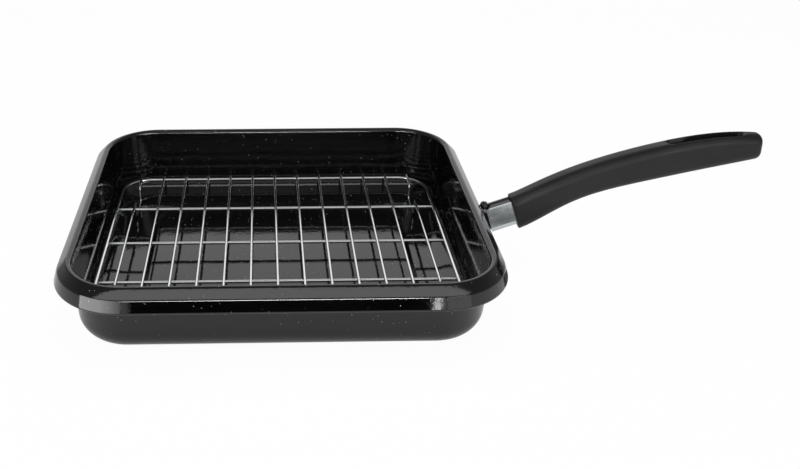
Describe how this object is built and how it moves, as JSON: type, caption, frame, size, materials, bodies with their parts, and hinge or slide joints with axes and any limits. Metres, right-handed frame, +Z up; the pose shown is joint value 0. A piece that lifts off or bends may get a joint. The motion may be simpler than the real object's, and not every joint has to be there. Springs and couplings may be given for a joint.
{
  "type": "grill pan with rack",
  "caption": "Deep rectangular enamelled pan with rounded corners, rolled rim, raised floor, a loose wire rack on bent feet, and a long moulded handle with a hanging slot.",
  "frame": {"origin": "centre of the pan's footprint, at the level of the surface it stands on", "axes": "+X runs from the middle of the pan towards the handle, +Y is the pan's side away from a viewer who has the handle on the right, +Z is up"},
  "size_m": [0.5671, 0.3084, 0.1141],
  "materials": {
    "enamel": "gloss vitreous enamel on steel, with sparse tiny pale specks",
    "chrome_wire": "bright chrome plate on steel wire",
    "zinc": "bright zinc plate",
    "phenolic": "satin moulded phenolic",
    "screw_steel": "plain plated steel"
  },
  "bodies": {
    "pan_body": {"pan": "enamel", "handle_bracket": "enamel", "handle_sleeve": "zinc", "handle_grip": "phenolic", "handle_screw": "screw_steel", "screw_washer": "screw_steel"},
    "rack_body": {"rack_frame": "chrome_wire", "rack_cross_wire_1": "chrome_wire", "rack_cross_wire_2": "chrome_wire", "rack_cross_wire_3": "chrome_wire", "rack_wire_01": "chrome_wire", "rack_wire_02": "chrome_wire", "rack_wire_03": "chrome_wire", "rack_wire_04": "chrome_wire", "rack_wire_05": "chrome_wire", "rack_wire_06": "chrome_wire", "rack_wire_07": "chrome_wire", "rack_wire_08": "chrome_wire", "rack_wire_09": "chrome_wire", "rack_wire_10": "chrome_wire", "rack_wire_11": "chrome_wire", "rack_wire_12": "chrome_wire", "rack_wire_13": "chrome_wire"}
  },
  "joints": [
    {"name": "rack_lift", "type": "slide", "parent": "pan_body", "child": "rack_body", "axis": [0, 0, 1], "range_m": [0, 0.08]}
  ]
}
